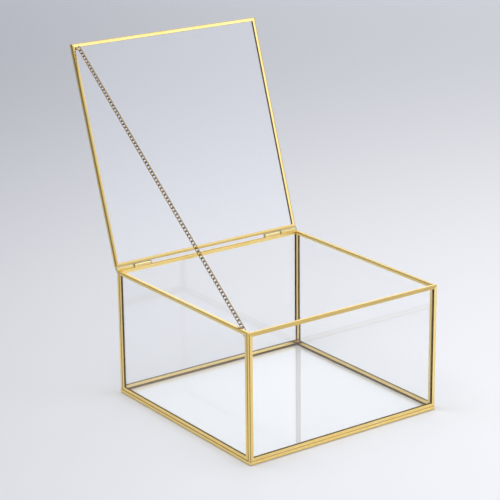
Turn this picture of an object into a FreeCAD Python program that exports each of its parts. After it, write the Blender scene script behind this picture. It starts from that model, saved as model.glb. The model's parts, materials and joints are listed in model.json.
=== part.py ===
import FreeCAD, Part
import math
import os

from FreeCAD import Matrix, Placement, Rotation, Vector

# A clear glass card box: six panes edged in folded brass channel, a lid on two
# tube hinges along the back, and a curb chain that stops the open lid.
# Millimetres, X across the front, Y from front to back, Z up from the table. The
# origin is on the table, under the middle of the bottom panel's front rail.

# Outer size of the glass body, without the lid
box_width = 250.0
box_depth = 252.0
box_height = 145.5

# Panes, and the folded brass channel that edges every one of them
glass_thick = 3.0
glass_play = 0.1
glass_seat = 0.4
sheet_thick = 0.5
rail_face = 4.0
fold_radius = 0.9
fold_facets = 3

# Lid and its two hinges, each a box knuckle, a lid knuckle and a pin
lid_rest_gap = 0.3
hinge_gap = 0.3
hinge_rise = 1.0
barrel_radius = 1.5
knuckle_length = 23.0
knuckle_gap = 0.3
box_leaf_drop = 3.0
pin_radius = 0.8
pin_play = 0.04

# Wire eyes that hold the two ends of the chain
chain_inset = 6.8
eye_wire_radius = 0.5
eye_wire_sides = 6
eye_facets = 12
eye_play = 0.4
box_ring_radius = 2.0
box_stem_radius = 0.7
box_eye_drop = 10.0
edge_margin = 0.1
lid_eye_back = 5.4
lid_eye_drop = 3.4
lid_hoop_radius = 1.85

# Curb chain: alike twisted links, in runs between the places where it folds
link_count = 89
link_pitch = 4.527
link_wire_radius = 0.72
link_wire_sides = 4
link_half_width = 1.65
link_play = 0.55
run_link_counts = {
    "chain_run_2": 3,
    "chain_run_3": 15,
    "chain_run_4": 1,
    "chain_run_5": 1,
    "chain_run_6": 10,
    "chain_run_7": 3,
    "chain_run_8": 26,
    "chain_run_9": 4,
}

# Sizes that follow from the ones above
rail_thick = glass_thick + 2 * (glass_play + sheet_thick)
left_face = -box_width / 2
right_face = box_width / 2
front_face = -(fold_radius + rail_face) / 2
back_face = front_face + box_depth
wall_height = box_height - rail_thick
lid_underside = box_height + lid_rest_gap
hinge_line = Vector(0, back_face + barrel_radius, box_height + hinge_rise)
chain_x = left_face + chain_inset

nodes = {}


def fold(across, radius, drop):
    """Points of a quarter round fold at the foot of a flange, from the flange to the web."""
    points = []
    for step in range(fold_facets + 1):
        angle = math.radians(90 * step / fold_facets)
        inward = radius * (1 - math.cos(angle))
        points.append((across - math.copysign(inward, across), drop + radius * (1 - math.sin(angle))))
    return points


def channel(length):
    """A folded brass channel along X: web below, slot upwards, both ends mitred."""
    half = rail_thick / 2
    slot = half - sheet_thick
    inside_radius = fold_radius - sheet_thick
    outline = [
        (-half, rail_face),
        *fold(-half, fold_radius, 0),
        *reversed(fold(half, fold_radius, 0)),
        (half, rail_face),
        (slot, rail_face),
        *fold(slot, inside_radius, sheet_thick),
        *reversed(fold(-slot, inside_radius, sheet_thick)),
        (-slot, rail_face),
        (-half, rail_face),
    ]
    section = Part.makePolygon([Vector(-length / 2, y, z) for y, z in outline])
    bar = Part.Face(section).extrude(Vector(length, 0, 0))
    mitre = Part.makePolygon(
        [
            Vector(-length / 2, -rail_thick, 0),
            Vector(length / 2, -rail_thick, 0),
            Vector(length / 2 - rail_face, -rail_thick, rail_face),
            Vector(rail_face - length / 2, -rail_thick, rail_face),
            Vector(-length / 2, -rail_thick, 0),
        ]
    )
    cutter = Part.Face(mitre).extrude(Vector(0, 2 * rail_thick, 0))
    return bar.common(cutter).Solids[0]


def pane(width, height):
    """The glass of one panel, standing in the XZ plane on the panel's lower edge."""
    edge = sheet_thick + glass_seat
    corner = Vector(edge - width / 2, -glass_thick / 2, edge)
    return Part.makeBox(width - 2 * edge, glass_thick, height - 2 * edge, corner)


def panel(name, sides, width, height, place):
    """A pane in its four channels, as five nodes. The sides are lower, upper, left and right."""
    y_axis = Vector(0, 1, 0)
    seats = [
        (width, Placement(Vector(0, 0, 0), Rotation())),
        (width, Placement(Vector(0, 0, height), Rotation(y_axis, 180))),
        (height, Placement(Vector(-width / 2, 0, height / 2), Rotation(y_axis, 90))),
        (height, Placement(Vector(width / 2, 0, height / 2), Rotation(y_axis, -90))),
    ]
    for side, (length, seat) in zip(sides, seats):
        rail = channel(length)
        rail.Placement = place.multiply(seat)
        nodes[f"{name}_{side}_rail"] = rail
    glass = pane(width, height)
    glass.Placement = place
    nodes[f"{name}_glass"] = glass


def walls():
    """Front and back panels run the full width. The side panels stand between them."""
    upright = ["bottom", "top", "left", "right"]
    middle = rail_thick / 2
    for name, y in (("front", front_face + middle), ("back", back_face - middle)):
        place = Placement(Vector(0, y, rail_thick), Rotation())
        panel(name, upright, box_width, wall_height, place)
    quarter_turn = Rotation(Vector(0, 0, 1), 90)
    inner_depth = box_depth - 2 * rail_thick
    centre = (front_face + back_face) / 2
    for name, x in (("left", left_face + middle), ("right", right_face - middle)):
        place = Placement(Vector(x, centre, rail_thick), quarter_turn)
        panel(name, ["bottom", "top", "front", "back"], inner_depth, wall_height, place)


def floor_panel():
    """The bottom panel covers the whole footprint, and the walls stand on it."""
    lying = Rotation(Vector(1, 0, 0), -90)
    place = Placement(Vector(0, front_face, rail_thick / 2), lying)
    panel("bottom", ["front", "back", "left", "right"], box_width, box_depth, place)


def chain_ends():
    """Centres of the box ring and of the lid staple's bar, both with the lid closed."""
    stem_y = front_face + rail_thick + rail_face - box_stem_radius - edge_margin
    ring = Vector(chain_x, stem_y + box_ring_radius, box_height - box_eye_drop)
    bar = Vector(chain_x, front_face + lid_eye_back, lid_underside - lid_eye_drop)
    return ring, bar


def chain_sizes():
    """Half length of a link, where the first link hangs in its ring, and the whole chain."""
    wire = math.sqrt(2) * link_wire_radius
    half_length = (link_pitch + wire + link_play) / 2
    hook = eye_wire_radius + eye_play + wire / 2
    first = box_ring_radius - hook
    whole = first + (link_count - 1) * link_pitch + 2 * half_length - hook
    return half_length, first, whole


def slope(vector):
    """Angle of a vector in the YZ plane, from +Y towards +Z, in degrees."""
    return math.degrees(math.atan2(vector.z, vector.y)) % 360


def opening():
    """How far the lid opens before the chain is taut, from the triangle that they make."""
    ring, bar = chain_ends()
    to_ring = Vector(0, ring.y, ring.z) - hinge_line
    to_bar = Vector(0, bar.y, bar.z) - hinge_line
    sides = to_ring.Length**2 + to_bar.Length**2 - chain_sizes()[2] ** 2
    apex = math.degrees(math.acos(sides / (2 * to_ring.Length * to_bar.Length)))
    return apex + slope(to_bar) - slope(to_ring)


lid_turn = Rotation(Vector(1, 0, 0), -opening())
lid_swing = Placement(Vector(0, 0, 0), lid_turn, hinge_line)


def lid():
    """The lid panel, level with the top of the walls when closed, here swung open."""
    lying = Rotation(Vector(1, 0, 0), -90)
    closed = Placement(Vector(0, front_face, lid_underside + rail_thick / 2), lying)
    sides = ["front", "hinge", "left", "right"]
    panel("lid", sides, box_width, box_depth - hinge_gap, lid_swing.multiply(closed))


def knuckle(x, leaf_corner, leaf_size):
    """A tube round the hinge line, rolled from the same sheet as its soldered leaf."""
    start = Vector(x, hinge_line.y, hinge_line.z)
    along = Vector(1, 0, 0)
    tube = Part.makeCylinder(barrel_radius, knuckle_length, start, along)
    leaf = Part.makeBox(knuckle_length, leaf_size[0], leaf_size[1], leaf_corner)
    bore = Part.makeCylinder(pin_radius + pin_play, knuckle_length, start, along)
    return tube.fuse(leaf).cut(bore).removeSplitter().Solids[0]


def hinge(side, box_x, lid_x):
    """One hinge: the outer knuckle is soldered behind the back rail, the inner one to the lid."""
    box_low = box_height - box_leaf_drop
    nodes[f"{side}_hinge_box_knuckle"] = knuckle(
        box_x, Vector(box_x, back_face, box_low), (sheet_thick, hinge_line.z - box_low)
    )
    leaf_top = lid_underside + rail_thick - fold_radius
    leaf_thick = hinge_gap + sheet_thick
    lid_knuckle = knuckle(
        lid_x, Vector(lid_x, back_face - hinge_gap, hinge_line.z), (leaf_thick, leaf_top - hinge_line.z)
    )
    lid_knuckle.Placement = lid_swing
    nodes[f"{side}_hinge_lid_knuckle"] = lid_knuckle
    start = Vector(min(box_x, lid_x), hinge_line.y, hinge_line.z)
    length = 2 * knuckle_length + knuckle_gap
    nodes[f"{side}_hinge_pin"] = Part.makeCylinder(pin_radius, length, start, Vector(1, 0, 0))


def hinges():
    step = knuckle_length + knuckle_gap
    hinge("left", left_face, left_face + step)
    hinge("right", right_face - knuckle_length, right_face - knuckle_length - step)


def bent_wire(path, radius, sides, closed):
    """A solid of many-sided wire along a path, whose points come with the normal of their bend."""
    count = len(path)
    rings = []
    for i, (centre, flat_normal) in enumerate(path):
        before = path[i - 1][0] if closed or i > 0 else centre
        after = path[(i + 1) % count][0] if closed or i + 1 < count else centre
        run = after - before
        run.normalize()
        outward = run.cross(flat_normal)
        outward.normalize()
        upward = outward.cross(run)
        ring = []
        for corner in range(sides):
            angle = 2 * math.pi * (corner + 0.5) / sides
            offset = outward * math.cos(angle) + upward * math.sin(angle)
            ring.append(centre + offset * radius)
        rings.append(ring)
    outlines = []
    for i in range(count if closed else count - 1):
        here = rings[i]
        there = rings[(i + 1) % count]
        for k in range(sides):
            after = (k + 1) % sides
            outlines.append([here[k], here[after], there[after]])
            outlines.append([here[k], there[after], there[k]])
    if not closed:
        outlines.append(rings[0][::-1])
        outlines.append(rings[-1])
    faces = [Part.Face(Part.makePolygon([*outline, outline[0]])) for outline in outlines]
    solid = Part.Solid(Part.Shell(faces))
    if solid.Volume < 0:
        solid.reverse()
    return solid


def hoop(centre, radius, across, upward, share):
    """Path of a wire hoop round a centre, or of the lower share of one, from side to side."""
    steps = round(eye_facets * share)
    path = []
    for step in range(steps if share == 1 else steps + 1):
        angle = 2 * math.pi * (step - steps / 2) / eye_facets
        point = centre + across * (radius * math.sin(angle)) - upward * (radius * math.cos(angle))
        path.append((point, across.cross(upward)))
    return path


def box_eye():
    """A wire ring on a short stem, soldered to the left panel's front rail inside the box."""
    ring = chain_ends()[0]
    path = hoop(ring, box_ring_radius, Vector(0, 0, 1), Vector(0, 1, 0), 1)
    wire = bent_wire(path, eye_wire_radius, eye_wire_sides, closed=True)
    wall = left_face + rail_thick
    foot = Vector(wall, ring.y - box_ring_radius, ring.z)
    stem = Part.makeCylinder(box_stem_radius, chain_x - wall, foot, Vector(1, 0, 0))
    nodes["box_chain_eye"] = wire.fuse(stem).Solids[0]


def lid_eye():
    """A wire hoop on a small lug, soldered into the lid's corner level with its inner flanges."""
    bar = chain_ends()[1]
    corner = Vector(left_face + rail_face, front_face + rail_face, lid_underside)
    lug_far = bar + Vector(lid_hoop_radius, 0, 0) + Vector(1, 1, 0) * (eye_wire_radius + edge_margin)
    lug = Part.makeBox(lug_far.x - corner.x, lug_far.y - corner.y, sheet_thick, corner)
    sideways = Vector(1, 0, 0)
    upward = Vector(0, 0, 1)
    centre = bar + upward * lid_hoop_radius
    bend = hoop(centre, lid_hoop_radius, sideways, upward, 0.5)
    leg_top = upward * (lid_underside + sheet_thick / 2 - centre.z)
    normal = sideways.cross(upward)
    first = (centre - sideways * lid_hoop_radius + leg_top, normal)
    last = (centre + sideways * lid_hoop_radius + leg_top, normal)
    staple = bent_wire([first, *bend, last], eye_wire_radius, eye_wire_sides, closed=False)
    eye = lug.fuse(staple).Solids[0]
    eye.Placement = lid_swing
    nodes["lid_chain_eye"] = eye


def link():
    """One chain link: wire round a long loop, turned a quarter about its length from end to end."""
    half_length = chain_sizes()[0]
    straight = half_length - link_half_width
    flat = []
    for end in (1, -1):
        for step in range(5):
            angle = math.radians(90 - 45 * step)
            along = end * (straight + link_half_width * math.cos(angle))
            flat.append((along, end * link_half_width * math.sin(angle)))
        flat.append((0.0, -end * link_half_width))
    loop = []
    for along, across in flat:
        twist = -math.radians(45 + 45 * along / half_length)
        side = Vector(0, math.cos(twist), math.sin(twist))
        loop.append((Vector(along, 0, 0) + side * across, side.cross(Vector(1, 0, 0))))
    return bent_wire(loop, link_wire_radius, link_wire_sides, closed=True)


def chain():
    """The taut chain from the box ring to the lid staple, one node for each run of links."""
    half_length, first, _ = chain_sizes()
    ring, bar = chain_ends()
    along = lid_swing.multVec(bar) - ring
    along.normalize()
    across = Vector(1, 0, 0)
    third = along.cross(across)
    turn = Matrix(
        along.x, across.x, third.x, 0,
        along.y, across.y, third.y, 0,
        along.z, across.z, third.z, 0,
        0, 0, 0, 1,
    )
    model = link()
    counts = {"chain_run_1": link_count - sum(run_link_counts.values()), **run_link_counts}
    place = first + half_length
    for name, count in counts.items():
        links = []
        for _ in range(round(count)):
            copy = model.copy()
            copy.Placement = Placement(ring + along * place, Rotation(turn))
            links.append(copy)
            place += link_pitch
        nodes[name] = Part.Compound(links)


def build():
    floor_panel()
    walls()
    lid()
    hinges()
    box_eye()
    lid_eye()
    chain()
    os.makedirs("parts", exist_ok=True)
    for name, shape in nodes.items():
        shape.exportStep(f"parts/{name}.step")
    print(f"{len(nodes)} nodes, lid open {opening():.3f} degrees")


build()
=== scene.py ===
import json
import math

import bmesh
import bpy
from mathutils import Matrix, Vector


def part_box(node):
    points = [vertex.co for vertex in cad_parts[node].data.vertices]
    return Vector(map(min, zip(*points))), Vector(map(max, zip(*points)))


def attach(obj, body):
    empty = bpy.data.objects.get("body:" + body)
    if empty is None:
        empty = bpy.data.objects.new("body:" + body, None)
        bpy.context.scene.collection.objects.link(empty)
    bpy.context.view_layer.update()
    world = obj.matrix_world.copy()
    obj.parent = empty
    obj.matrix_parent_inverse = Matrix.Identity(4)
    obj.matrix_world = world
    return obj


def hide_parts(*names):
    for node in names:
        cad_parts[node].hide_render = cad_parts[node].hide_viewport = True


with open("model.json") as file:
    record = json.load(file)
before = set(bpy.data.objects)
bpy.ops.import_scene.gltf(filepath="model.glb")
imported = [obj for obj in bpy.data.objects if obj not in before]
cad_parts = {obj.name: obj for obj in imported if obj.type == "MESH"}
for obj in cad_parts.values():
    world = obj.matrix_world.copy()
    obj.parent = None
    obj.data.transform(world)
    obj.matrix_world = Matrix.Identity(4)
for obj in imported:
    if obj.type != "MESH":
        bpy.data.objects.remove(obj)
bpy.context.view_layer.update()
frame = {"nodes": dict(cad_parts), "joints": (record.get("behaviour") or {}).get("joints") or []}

# Edging: every pane is framed by channel folded from thin sheet brass, with its
# corners mitred and soldered. The outside is buffed and lacquered. In the slots
# and on the cut edges the brass is painted dark, as painted shade of the channel.
sheet_thick = 0.0005
fold_radius = 0.0009
fold_steps = 4
fold_start = 0.01
smooth_angle = math.radians(40)
same_place = 1e-6
square_on = 0.9
rail_low, rail_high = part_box("bottom_front_rail")
rail_face = rail_high.y - rail_low.y
rail_thick = rail_high.z - rail_low.z


class Tone:
    """A value on its way through a material's nodes, so that a finish reads as a sum."""

    def __init__(self, tree, socket=None):
        self.tree = tree
        self.socket = socket

    def node(self, kind, settings, output=0, **sockets):
        """Adds a node, with its settings first and its sockets named by their labels or numbers."""
        made = self.tree.nodes.new(kind)
        for name, value in settings.items():
            if name == "stops":
                for stop, (place, colour) in zip(made.color_ramp.elements, value):
                    stop.position = place
                    stop.color = (*colour, 1)
            else:
                setattr(made, name, value)
        for label, value in sockets.items():
            number = int(label[1:]) if label[1:].isdigit() else label.replace("_", " ")
            self.feed(made.inputs[number], value)
        return Tone(self.tree, made.outputs[output])

    def feed(self, socket, value):
        """Links a tone to a socket, or sets the socket to a plain value."""
        if isinstance(value, Tone):
            self.tree.links.new(value.socket, socket)
        else:
            socket.default_value = value

    def math(self, operation, first, second):
        return self.node("ShaderNodeMath", {"operation": operation}, _0=first, _1=second)

    def __add__(self, other):
        return self.math("ADD", self, other)

    def __radd__(self, other):
        return self.math("ADD", other, self)

    def __mul__(self, other):
        return self.math("MULTIPLY", self, other)

    def __rmul__(self, other):
        return self.math("MULTIPLY", other, self)

    def __pow__(self, other):
        return self.math("POWER", self, other)

    def __rpow__(self, other):
        return self.math("POWER", other, self)


def finish(name, **sockets):
    """A new material, its shader with the constant sockets set, and a tone to add nodes with."""
    material = bpy.data.materials.new(name)
    material.use_nodes = True
    shader = material.node_tree.nodes["Principled BSDF"]
    for label, value in sockets.items():
        shader.inputs[label.replace("_", " ")].default_value = value
    return material, shader, Tone(material.node_tree)


drift_scale = 38.0
spot_scale = 420.0
spot_share = 0.3
rub_dulling = 0.25
fold_shade_base = 0.35
fold_shade_patches = 0.9
drift_haze = 0.08
spot_haze = 0.06
fold_haze = 0.10
spot_depth = 0.0001


def brass(name, pale, deep, tarnish_and_shade, sheen):
    """Lacquered brass: slow drifts of colour, small rubbed spots of wear, and painted shade where
    points are marked.
    """
    material, shader, tone = finish(name, Metallic=1.0)
    place = tone.node("ShaderNodeTexCoord", {}, output="Object")
    drift = tone.node(
        "ShaderNodeTexNoise", {}, Vector=place, Scale=drift_scale, Detail=4.0, Roughness=0.55
    )
    spots = tone.node(
        "ShaderNodeTexNoise", {}, Vector=place, Scale=spot_scale, Detail=3.0, Roughness=0.6
    )
    fold_shade = tone.node("ShaderNodeAttribute", {"attribute_name": "fold"}, output="Fac")
    buffed = tone.node(
        "ShaderNodeValToRGB", {"stops": [(0.30, deep), (0.68, pale)]},
        Fac=drift * (1 - spot_share) + spots * spot_share,
    )
    rubbed = tone.node(
        "ShaderNodeValToRGB", {"stops": [(0.62, (0, 0, 0)), (0.74, (1, 1, 1))]}, Fac=spots
    )
    # Rubbed spots darken as real wear; the per-point mark adds painted shade in seams, bends and
    # corners.
    wear_and_painted_shade = rubbed * rub_dulling + fold_shade * (fold_shade_base + drift * fold_shade_patches)
    colour = tone.node(
        "ShaderNodeMix", {"data_type": "RGBA"}, output=2, Factor=wear_and_painted_shade, _6=buffed, _7=(*tarnish_and_shade, 1)
    )
    haze = sheen + drift * drift_haze + spots * spot_haze + fold_shade * fold_haze
    relief = tone.node("ShaderNodeBump", {}, Strength=0.04, Distance=spot_depth, Height=spots)
    tone.feed(shader.inputs["Base Color"], colour)
    tone.feed(shader.inputs["Roughness"], haze)
    tone.feed(shader.inputs["Normal"], relief)
    return material


edge_brass = brass("edging brass", (1.0, 0.79, 0.34), (0.97, 0.69, 0.21), (0.22, 0.11, 0.020), 0.11)

# Painted shade: a dark brass for the slot insides and cut edges of every rail, standing in for the
# shade inside the channel; its mottle is random tone.
slot_painted_shade, slot_shader, tone = finish("flux dark", Metallic=0.9)
place = tone.node("ShaderNodeTexCoord", {}, output="Object")
shade_mottle = tone.node("ShaderNodeTexNoise", {}, Vector=place, Scale=260.0, Detail=4.0)
mottled_shade = tone.node(
    "ShaderNodeValToRGB", {"stops": [(0.35, (0.18, 0.095, 0.010)), (0.75, (0.44, 0.27, 0.04))]},
    Fac=shade_mottle,
)
tone.feed(slot_shader.inputs["Base Color"], mottled_shade)
tone.feed(slot_shader.inputs["Roughness"], 0.30 + shade_mottle * 0.30)


def pick(piece, parts, test):
    """Selects in edit mode the faces or edges of a piece that pass a test."""
    bpy.ops.object.mode_set(mode="EDIT")
    bpy.ops.mesh.select_mode(type="FACE" if parts == "faces" else "EDGE")
    bpy.ops.mesh.select_all(action="DESELECT")
    edited = bmesh.from_edit_mesh(piece.data)
    for part in getattr(edited, parts):
        part.select_set(test(part))
    bmesh.update_edit_mesh(piece.data)


def paint_shade_points(piece, amount):
    """Writes on every point of a piece how much painted shade its brass adds there."""
    shade = piece.data.attributes.new("fold", "FLOAT", "POINT")
    for vertex, value in zip(piece.data.vertices, shade.data):
        value.value = amount(vertex.co)


def channel(name, length, shade_web, shade_folds, shade_faces):
    """One rail along X with its web at Z = 0 and its slot upwards, mitred at both ends."""

    def along_fold(edge):
        low = all(vert.co.z < same_place for vert in edge.verts)
        return low and edge.calc_length() > rail_thick * 2

    # Painted shade at a point: along the folds where the rail meets its neighbours, on the web and
    # on the faces.
    def painted_shading(point):
        across = max(0, (abs(point.y) - rail_thick / 2) / fold_radius + 1)
        down = 1 - point.z / fold_radius
        rounding = shade_folds * 2 * across * down + shade_web * down + shade_faces * across
        return rounding if down > fold_start else shade_faces

    bpy.ops.object.select_all(action="DESELECT")
    bpy.ops.mesh.primitive_cube_add(
        size=1, location=(0, 0, rail_face / 2), scale=(length, rail_thick, rail_face)
    )
    rail = bpy.context.object
    rail.name = name
    bpy.ops.object.transform_apply(location=True, rotation=True, scale=True)
    pick(rail, "faces", lambda face: abs(face.normal.x) > square_on or face.normal.z > square_on)
    bpy.ops.mesh.delete(type="FACE")
    pick(rail, "edges", along_fold)
    bpy.ops.mesh.bevel(offset=fold_radius, segments=fold_steps, affect="EDGES")
    bpy.ops.object.mode_set(mode="OBJECT")
    sheet = rail.modifiers.new("sheet", "SOLIDIFY")
    sheet.thickness = sheet_thick
    sheet.offset = -1
    # Painted shade: the slot side and the cut edges of the sheet take the dark slot material.
    sheet.material_offset = 1
    sheet.material_offset_rim = 1
    rail.data.materials.append(edge_brass)
    rail.data.materials.append(slot_painted_shade)
    bpy.ops.object.modifier_apply(modifier="sheet")
    for end in (1, -1):
        bpy.ops.object.mode_set(mode="EDIT")
        bpy.ops.mesh.select_all(action="SELECT")
        bpy.ops.mesh.bisect(
            plane_co=(end * length / 2, 0, 0), plane_no=(end, 0, 1), use_fill=True, clear_outer=True
        )
        bpy.ops.object.mode_set(mode="OBJECT")
    bpy.ops.object.shade_smooth_by_angle(angle=smooth_angle)
    paint_shade_points(rail, painted_shading)
    return rail


lid_joint = next(joint for joint in frame["joints"] if joint["name"] == "lid_hinge")
hinge_line = Vector(lid_joint["pos_m"])
lid_opening = math.radians(lid_joint["range_deg"][1])
still = Matrix.Identity(4)
lid_swing = (
    Matrix.Translation(hinge_line)
    @ Matrix.Rotation(-lid_opening, 4, "X")
    @ Matrix.Translation(-hinge_line)
)


def extent(node, swing):
    """Lowest and highest corner of a CAD node once its swing is taken back."""
    back = swing.inverted()
    points = [back @ vertex.co for vertex in frame["nodes"][node].data.vertices]
    low = Vector([min(point[axis] for point in points) for axis in range(3)])
    high = Vector([max(point[axis] for point in points) for axis in range(3)])
    return low, high


def edge_panel(panel, sides, body, swing):
    """Puts the rails of one panel on their CAD nodes, each with its slot towards the pane."""
    pane_low, pane_high = extent(f"{panel}_glass", swing)
    pane_size = pane_high - pane_low
    through = min(range(3), key=lambda axis: pane_size[axis])
    for side, painted_shading in sides.items():
        node = f"{panel}_{side}_rail"
        low, high = extent(node, swing)
        size = high - low
        run = max(range(3), key=lambda axis: size[axis])
        slot_axis = 3 - through - run
        centre = (low + high) / 2
        along = Vector([float(axis == run) for axis in range(3)])
        inward = Vector([float(axis == slot_axis) for axis in range(3)])
        inward *= math.copysign(1, ((pane_low + pane_high) / 2 - centre).dot(inward))
        turn = Matrix((along, inward.cross(along), inward)).transposed().to_4x4()
        web = centre - inward * (rail_face / 2)
        rail = channel(f"{panel}_{side}_edging", size[run], *painted_shading)
        rail.data.transform(swing @ Matrix.Translation(web) @ turn)
        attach(rail, body)
        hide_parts(node)


# Painted shade on the web, the folds and the faces of each rail, most at seams and posts.
seam = (0.0, 0.5, 0.0)
post = (0.0, 1.0, 0.12)
side_post = (0.0, 0.4, 0.0)
rim = (0.0, 0.1, 0.0)
front_rim = (0.0, 0.1, 0.5)
right_rim = (0.25, 0.2, 0.0)
lid_heel = (0.0, 0.4, 0.1)
lid_side = (0.0, 0.0, 0.36)
box_panels = {
    "bottom": {"front": seam, "back": seam, "left": seam, "right": seam},
    "front": {"bottom": seam, "top": front_rim, "left": post, "right": side_post},
    "back": {"bottom": seam, "top": rim, "left": post, "right": post},
    "left": {"bottom": seam, "top": rim, "front": post, "back": post},
    "right": {"bottom": seam, "top": right_rim, "front": post, "back": post},
}
for panel, sides in box_panels.items():
    edge_panel(panel, sides, "box", still)
lid_sides = {"front": rim, "hinge": lid_heel, "left": lid_side, "right": side_post}
edge_panel("lid", lid_sides, "lid", lid_swing)

# Panes: clear float glass, cut square and slid into the slots of the channels. It
# bends what is seen through it a little and mirrors at a flat angle. Lamp light
# falls straight through it on what stands behind.
glass_tint = (0.99, 0.995, 0.995, 1)
smear_haze = 0.01
glass, gloss, tone = finish("clear glass", Base_Color=glass_tint, Transmission_Weight=1.0, IOR=1.5)
place = tone.node("ShaderNodeTexCoord", {}, output="Object")
smear = tone.node("ShaderNodeTexNoise", {}, Vector=place, Scale=9.0, Detail=3.0, Roughness=0.5)
tone.feed(gloss.inputs["Roughness"], smear * smear_haze)
clear = tone.node("ShaderNodeBsdfTransparent", {}, Color=glass_tint)
shadow_ray = tone.node("ShaderNodeLightPath", {}, output="Is Shadow Ray")
diffuse_ray = tone.node("ShaderNodeLightPath", {}, output="Is Diffuse Ray")
let_by = tone.math("MAXIMUM", shadow_ray, diffuse_ray)
bending = Tone(glass.node_tree, gloss.outputs["BSDF"])
mixed = tone.node("ShaderNodeMixShader", {}, _0=let_by, _1=bending, _2=clear)
tone.feed(glass.node_tree.nodes["Material Output"].inputs["Surface"], mixed)
for panel in (*box_panels, "lid"):
    pane = frame["nodes"][f"{panel}_glass"]
    pane.data.materials.clear()
    pane.data.materials.append(glass)

# Hinges: each knuckle is a leaf of the same sheet, rolled round a drawn brass pin.
# The outer leaf is soldered behind the back rail, the inner one to the lid.
knuckle_end_band = 0.0014
roll_steps = 20
full_roll = math.radians(335)
edge_break = sheet_thick / 5
sharp_angle = math.radians(50)
# Its near-black dark colour serves rubbed spots and the painted shade at knuckle ends and in the lid
# corner.
hinge_brass = brass("hinge brass", (1.0, 0.92, 0.50), (1.0, 0.82, 0.36), (0.02, 0.012, 0.006), 0.15)


def knuckle(node, body, swing, leaf_end, roll):
    """A rolled knuckle in place of its CAD node, with the leaf's free edge at a height."""
    low, high = extent(node, swing)
    length = high.x - low.x
    roll_radius = high.y - hinge_line.y - sheet_thick / 2
    middle = ((low.x + high.x) / 2, hinge_line.y - roll_radius, (leaf_end + hinge_line.z) / 2)

    def at_pin(edge):
        return all(abs(vert.co.z - hinge_line.z) < same_place for vert in edge.verts)

    # Painted shade: a dark band at each end of a knuckle, for the shaded gap between knuckles.
    def end_painted_shade(point):
        return float(min(point.x - low.x, high.x - point.x) < knuckle_end_band / 2)

    bpy.ops.object.select_all(action="DESELECT")
    bpy.ops.mesh.primitive_plane_add(size=1, location=middle, rotation=(math.pi / 2, 0, 0))
    leaf = bpy.context.object
    leaf.name = f"{node}_rolled"
    leaf.scale = (length, abs(leaf_end - hinge_line.z), 1)
    bpy.ops.object.transform_apply(location=True, rotation=True, scale=True)
    pick(leaf, "edges", at_pin)
    bpy.ops.mesh.spin(steps=roll_steps, angle=roll, center=hinge_line, axis=(1, 0, 0))
    bpy.ops.mesh.select_all(action="SELECT")
    bpy.ops.mesh.remove_doubles(threshold=same_place)
    bpy.ops.mesh.normals_make_consistent(inside=False)
    for end in (low.x + knuckle_end_band, high.x - knuckle_end_band):
        bpy.ops.mesh.select_all(action="SELECT")
        bpy.ops.mesh.bisect(plane_co=(end, 0, 0), plane_no=(1, 0, 0))
    bpy.ops.object.mode_set(mode="OBJECT")
    sheet = leaf.modifiers.new("sheet", "SOLIDIFY")
    sheet.thickness = sheet_thick
    sheet.offset = 0
    bpy.ops.object.modifier_apply(modifier="sheet")
    edges = leaf.modifiers.new("edges", "BEVEL")
    edges.width = edge_break
    edges.segments = 2
    edges.angle_limit = sharp_angle
    bpy.ops.object.modifier_apply(modifier="edges")
    bpy.ops.object.shade_smooth_by_angle(angle=smooth_angle)
    paint_shade_points(leaf, end_painted_shade)
    leaf.data.materials.append(hinge_brass)
    leaf.data.transform(swing)
    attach(leaf, body)
    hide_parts(node)


for side in ("left", "right"):
    box_node = f"{side}_hinge_box_knuckle"
    lid_node = f"{side}_hinge_lid_knuckle"
    knuckle(box_node, "box", still, extent(box_node, still)[0].z, -full_roll)
    knuckle(lid_node, "lid", lid_swing, extent(lid_node, lid_swing)[1].z, full_roll)
    pin = frame["nodes"][f"{side}_hinge_pin"]
    pin.data.materials.clear()
    pin.data.materials.append(hinge_brass)

# Chain eyes: bent brass wire. The ring in the box hangs from a stem soldered to the
# front post, and the hoop in the lid stands on a lug in the corner. A flat blob by
# the lug and the lug's corner half are painted near black, as painted shadow there.
eye_wire = 0.0005
wire_sides = 12
ring_steps = 36
chain_joints = {joint["name"]: Vector(joint["pos_m"]) for joint in frame["joints"]}


def eye_piece(name, node, body, swing):
    """Finishes the selected and joined parts of an eye."""
    piece = bpy.context.object
    piece.name = name
    bpy.ops.object.shade_smooth_by_angle(angle=smooth_angle)
    piece.data.materials.clear()
    piece.data.materials.append(hinge_brass)
    piece.data.transform(swing)
    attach(piece, body)
    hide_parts(node)


stem_radius = 0.0007
solder_reach = 0.0005
solder_flare = 1.5
ring_centre = chain_joints["chain_turn_1"]
eye_low, eye_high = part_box("box_chain_eye")
ring_radius = (eye_high.z - eye_low.z) / 2 - eye_wire
stem_length = ring_centre.x - eye_low.x - solder_reach
stem_middle = (ring_centre.x - stem_length / 2, ring_centre.y - ring_radius, ring_centre.z)
stem_foot = (eye_low.x, *stem_middle[1:])
bpy.ops.object.select_all(action="DESELECT")
bpy.ops.mesh.primitive_cylinder_add(
    vertices=wire_sides, radius=stem_radius, depth=stem_length,
    location=stem_middle, rotation=(0, math.pi / 2, 0),
)
stem = bpy.context.object
bpy.ops.object.transform_apply(location=True, rotation=True, scale=True)
pick(stem, "faces", lambda face: face.normal.x < -square_on)
bpy.ops.mesh.extrude_region_move(TRANSFORM_OT_translate={"value": (-solder_reach, 0, 0)})
bpy.ops.transform.resize(value=(1, solder_flare, solder_flare), center_override=stem_foot)
bpy.ops.object.mode_set(mode="OBJECT")
bpy.ops.mesh.primitive_torus_add(
    location=ring_centre, rotation=(0, math.pi / 2, 0), major_radius=ring_radius,
    minor_radius=eye_wire, major_segments=ring_steps, minor_segments=wire_sides,
)
stem.select_set(True)
bpy.ops.object.join()
bpy.ops.object.transform_apply(location=True, rotation=True, scale=True)
eye_piece("box_eye_ring", "box_chain_eye", "box", still)

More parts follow.
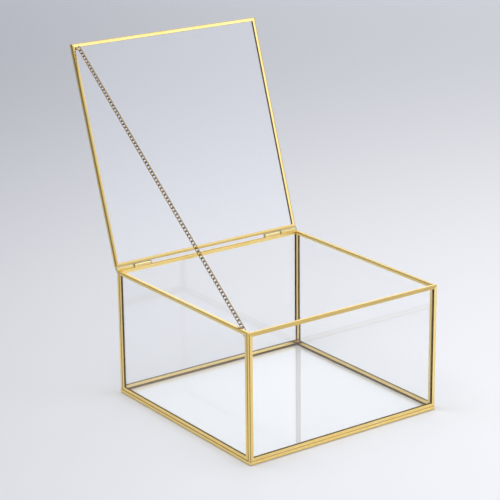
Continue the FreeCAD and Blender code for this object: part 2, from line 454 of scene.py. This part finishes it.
corner_shadow_radius = 0.0017
corner_shadow_drop = 0.0007
hoop_margin = 0.0001
lug_low, lug_high = extent("lid_chain_eye", lid_swing)
lug_front = extent("lid_front_rail", lid_swing)[0].y + rail_face
lug_size = (lug_high.x - lug_low.x, lug_high.y - lug_front, sheet_thick)
hoop_bar = lid_swing.inverted() @ chain_joints["chain_turn_9"]
hoop_radius = lug_high.x - hoop_bar.x - eye_wire - hoop_margin
hoop_top = lug_high.z - sheet_thick / 2
hoop_centre = hoop_bar + Vector((0, 0, hoop_radius))
leg = Vector((0, 0, hoop_top - hoop_centre.z))
bpy.ops.object.select_all(action="DESELECT")
bpy.ops.mesh.primitive_cube_add(
    size=1, scale=lug_size,
    location=((lug_low.x + lug_high.x) / 2, (lug_front + lug_high.y) / 2, hoop_top),
)
lug = bpy.context.object
bpy.ops.object.transform_apply(location=True, rotation=True, scale=True)
bpy.ops.object.mode_set(mode="EDIT")
bpy.ops.mesh.select_all(action="SELECT")
bpy.ops.mesh.bevel(offset=edge_break, segments=2, affect="EDGES")
bpy.ops.object.mode_set(mode="OBJECT")
corner_shadow_middle = Vector((lug_low.x + corner_shadow_radius - sheet_thick / 2, lug_front + corner_shadow_radius, hoop_top))
bpy.ops.mesh.primitive_uv_sphere_add(
    segments=20, ring_count=10, radius=corner_shadow_radius, location=corner_shadow_middle
)
corner_shadow_blob = bpy.context.object
corner_shadow_blob.scale.z = corner_shadow_drop / corner_shadow_radius
bpy.ops.object.transform_apply(location=True, rotation=True, scale=True)
bpy.ops.object.mode_set(mode="EDIT")
bpy.ops.mesh.select_all(action="SELECT")
bpy.ops.mesh.bisect(plane_co=corner_shadow_middle, plane_no=(0, 0, 1), use_fill=True, clear_outer=True)
bpy.ops.object.mode_set(mode="OBJECT")
lug.select_set(True)
bpy.context.view_layer.objects.active = lug
bpy.ops.object.join()
# Painted shadow: the lug's corner half and the blob beside it turn near black.
paint_shade_points(lug, lambda point: float(point.x < hoop_bar.x))
bpy.ops.mesh.primitive_circle_add(
    vertices=wire_sides, radius=eye_wire, location=hoop_centre + leg - Vector((hoop_radius, 0, 0))
)
bpy.ops.object.transform_apply(location=True, rotation=True, scale=True)
bpy.ops.object.mode_set(mode="EDIT")
bpy.ops.mesh.select_all(action="SELECT")
bpy.ops.mesh.extrude_region_move(TRANSFORM_OT_translate={"value": -leg})
bpy.ops.mesh.spin(steps=ring_steps // 2, angle=-math.pi, center=hoop_centre, axis=(0, 1, 0))
bpy.ops.mesh.extrude_region_move(TRANSFORM_OT_translate={"value": leg})
bpy.ops.mesh.select_all(action="SELECT")
bpy.ops.mesh.remove_doubles(threshold=same_place)
bpy.ops.mesh.fill_holes(sides=wire_sides)
bpy.ops.mesh.normals_make_consistent(inside=False)
bpy.ops.object.mode_set(mode="OBJECT")
lug.select_set(True)
bpy.ops.object.join()
eye_piece("lid_eye_hoop", "lid_chain_eye", "lid", lid_swing)

# Chain: a fine curb chain of twisted brass links, taut from the box to the lid.
# Every link is round wire, bent to a loop and turned a quarter along its length.
# Painted shade darkens its two bends, where the links overlap.
link_count = 89
link_wire = 0.0005
link_half_width = 0.0018
link_play = 0.0005
half_twist = math.radians(45)
loop_steps = 20
wire_steps = 8
bend_shade_most = 1.3
shade_rise = 9.0
shade_start = 2.2
chain_brass = brass("chain brass", (1.0, 0.68, 0.20), (0.84, 0.48, 0.10), (0.03, 0.012, 0.002), 0.09)
chain_foot = chain_joints["chain_turn_1"]
chain_line = (chain_joints["chain_turn_9"] - chain_foot).normalized()
chain_across = Vector((1, 0, 0))
chain_axes = (chain_line, chain_across, chain_line.cross(chain_across))
chain_turn = Matrix(chain_axes).transposed().to_4x4()


def span(run):
    """Where a run of links begins and ends along the chain."""
    points = [vertex.co for vertex in frame["nodes"][run].data.vertices]
    reach = [(point - chain_foot).dot(chain_line) for point in points]
    return min(reach), max(reach)


runs = [f"chain_run_{number}" for number in range(1, 10)]
spans = {run: span(run) for run in runs}
node_length = spans["chain_run_4"][1] - spans["chain_run_4"][0]
link_pitch = (spans[runs[-1]][1] - spans[runs[0]][0] - node_length) / (link_count - 1)
link_length = link_pitch + 4 * link_wire + link_play
straight = link_length / 2 - link_wire - link_half_width


def bend_shade(point):
    """Painted shade of a link at a point, none along its middle and most round its ends."""
    return min(bend_shade_most, max(0.0, shade_rise * abs(point.x) / link_length - shade_start))


bpy.ops.object.select_all(action="DESELECT")
bpy.ops.mesh.primitive_torus_add(
    major_radius=link_half_width, minor_radius=link_wire,
    major_segments=loop_steps, minor_segments=wire_steps,
)
link = bpy.context.object
link.name = "curb_link"
for vertex in link.data.vertices:
    along = vertex.co.x + math.copysign(straight, vertex.co.x)
    twist = -half_twist * (1 + along / (link_length / 2 - link_wire))
    side, depth = vertex.co.y, vertex.co.z
    vertex.co = (
        along,
        side * math.cos(twist) - depth * math.sin(twist),
        side * math.sin(twist) + depth * math.cos(twist),
    )
bpy.ops.object.shade_smooth()
link.data.materials.append(chain_brass)
# Painted shade round the link's bends, where it overlaps its neighbours.
paint_shade_points(link, bend_shade)

for run in runs:
    start, end = spans[run]
    count = 1 + round((end - start - node_length) / link_pitch)
    copies = []
    for number in range(count):
        copy = link.copy()
        copy.data = link.data.copy()
        bpy.context.collection.objects.link(copy)
        middle = chain_foot + chain_line * (start + node_length / 2 + number * link_pitch)
        copy.data.transform(Matrix.Translation(middle) @ chain_turn)
        copies.append(copy)
    bpy.ops.object.select_all(action="DESELECT")
    for copy in copies:
        copy.select_set(True)
    bpy.context.view_layer.objects.active = copies[0]
    if count > 1:
        bpy.ops.object.join()
    strand = bpy.context.view_layer.objects.active
    strand.name = f"{run}_links"
    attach(strand, run)
    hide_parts(run)
bpy.data.objects.remove(link)

# Stage: a wide pale paper floor, just under the box. The light is soft, from large
# panels above and behind and from bright patches of the room, and the camera
# stands where the photograph was taken.
floor_size = 16.0
floor_drop = 0.0002
bpy.ops.object.select_all(action="DESELECT")
bpy.ops.mesh.primitive_plane_add(size=floor_size, location=(0, 0, -floor_drop))
floor = bpy.context.object
floor.name = "studio_floor"
floor_paper, floor_shader, tone = finish(
    "pale paper", Base_Color=(0.88, 0.883, 0.895, 1), Roughness=0.75
)
floor.data.materials.append(floor_paper)

room_dim = 0.13
world = bpy.data.worlds.new("studio")
bpy.context.scene.world = world
world.use_nodes = True
tone = Tone(world.node_tree)
direction = tone.node("ShaderNodeTexCoord", {}, output="Generated")


def glow(toward, tightness, strength):
    """A soft bright patch of the studio, seen in one direction."""
    toward = Vector(toward).normalized()
    near = tone.node(
        "ShaderNodeVectorMath", {"operation": "DOT_PRODUCT"}, output="Value", _0=direction, _1=toward
    )
    return tone.math("MAXIMUM", near, 0.0) ** tightness * strength


front_glow = glow((0.58, -0.72, 0.36), 12, 1.4)
back_glow = glow((-0.31, 0.77, 0.55), 6, 0.45)
top_glow = glow((0.55, -0.29, 0.75), 24, 1.0)
backdrop = world.node_tree.nodes["Background"]
backdrop.inputs["Color"].default_value = (0.93, 0.97, 1.10, 1)
tone.feed(backdrop.inputs["Strength"], room_dim + front_glow + back_glow + top_glow)


def soft_light(name, place, aim, size, spread, power, colour):
    """A square of even light at a place, turned to its aim, with its spread in degrees."""
    lamp = bpy.data.lights.new(name, "AREA")
    lamp.shape = "RECTANGLE"
    lamp.size, lamp.size_y = size
    lamp.spread = math.radians(spread)
    lamp.energy = power
    lamp.color = colour
    holder = bpy.data.objects.new(name, lamp)
    holder.location = place
    holder.rotation_euler = (Vector(aim) - Vector(place)).to_track_quat("-Z", "Y").to_euler()
    bpy.context.collection.objects.link(holder)


soft_light(
    "key", place=(0.0, -0.4, 2.3), aim=(0.9, -0.6, 0.0), size=(2.2, 2.2),
    spread=103, power=21.4, colour=(1.0, 0.995, 0.99),
)
soft_light(
    "back panel", place=(2.85, 2.7, 1.5), aim=(0.6, 0.8, 0.0), size=(3.5, 3.0),
    spread=180, power=35.2, colour=(0.97, 0.98, 1.0),
)

view_target = Vector((-0.03305, 0.12355, 0.1837))
view_azimuth = math.radians(-35.52)
view_elevation = math.radians(18.01)
view_roll = math.radians(-0.586)
view_distance = 2.03975
view_limit = 40
focal_pixels = 1890.4
picture_width = 500
back = Vector((
    math.sin(view_azimuth) * math.cos(view_elevation),
    -math.cos(view_azimuth) * math.cos(view_elevation),
    math.sin(view_elevation),
))
right = Vector((0, 0, 1)).cross(back).normalized()
up = back.cross(right)
tilt = Matrix.Rotation(view_roll, 3, back)
lens = bpy.data.cameras.new("photograph view")
lens.sensor_width = 36
lens.lens = focal_pixels / picture_width * lens.sensor_width
lens.clip_end = view_limit
camera = bpy.data.objects.new("photograph view", lens)
camera.matrix_world = (
    Matrix.Translation(view_target + back * view_distance)
    @ Matrix((tilt @ right, tilt @ up, back)).transposed().to_4x4()
)
bpy.context.collection.objects.link(camera)
bpy.context.scene.camera = camera
bpy.context.scene.view_settings.view_transform = "Standard"

bpy.context.view_layer.update()
